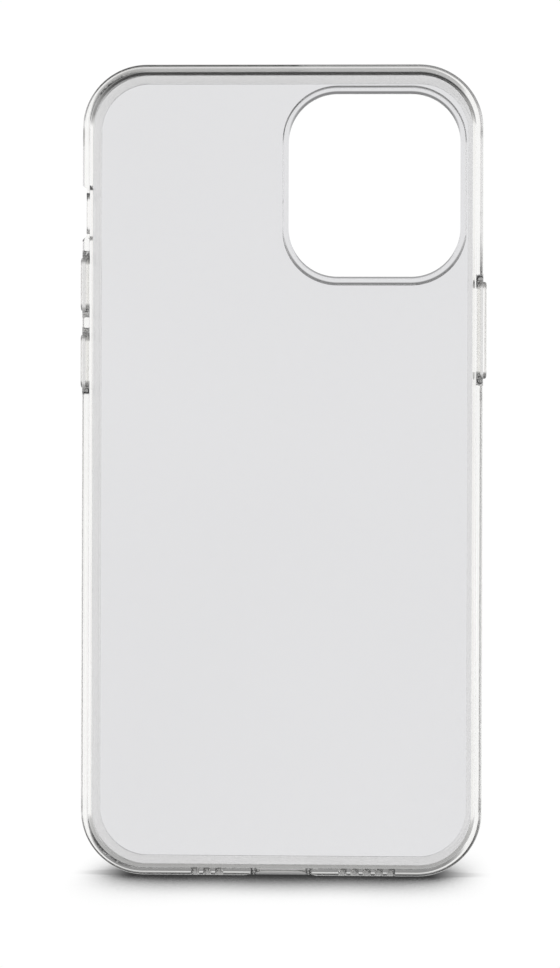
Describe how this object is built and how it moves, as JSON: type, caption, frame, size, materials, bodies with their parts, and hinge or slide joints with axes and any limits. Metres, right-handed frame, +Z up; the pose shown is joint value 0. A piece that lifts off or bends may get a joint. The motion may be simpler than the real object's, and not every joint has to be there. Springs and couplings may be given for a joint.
{
  "type": "phone case",
  "caption": "Clear phone case with an open front: a hard flat back plate with a raised camera window, held in a soft lipped bumper frame with sprung button pads.",
  "frame": {"origin": "middle of the phone seat, the flat inner face of the back plate", "axes": "+Z up along the case's length, camera window at the top; +Y out of the back, so the open front faces -Y; +X right as seen from the open front"},
  "size_m": [0.0825, 0.0111, 0.1638],
  "materials": {
    "clear_plate": "clear gloss",
    "clear_bumper": "clear gloss",
    "clear_pad": "clear gloss",
    "clear_web": "clear gloss"
  },
  "bodies": {
    "shell": {"bumper_frame": "clear_bumper", "back_plate": "clear_plate", "volume_up_web": "clear_web", "volume_down_web": "clear_web", "side_web": "clear_web"},
    "volume_up": {"volume_up_button": "clear_pad"},
    "volume_down": {"volume_down_button": "clear_pad"},
    "side": {"side_button": "clear_pad"}
  },
  "joints": [
    {"name": "volume_up_press", "type": "slide", "parent": "shell", "child": "volume_up", "axis": [1, 0, 0], "range_m": [0, 0.0004], "stiffness_N_per_m": 2500, "deforming": ["volume_up_web"]},
    {"name": "volume_down_press", "type": "slide", "parent": "shell", "child": "volume_down", "axis": [1, 0, 0], "range_m": [0, 0.0004], "stiffness_N_per_m": 2500, "deforming": ["volume_down_web"]},
    {"name": "side_press", "type": "slide", "parent": "shell", "child": "side", "axis": [-1, 0, 0], "range_m": [0, 0.0004], "stiffness_N_per_m": 2500, "deforming": ["side_web"]}
  ]
}
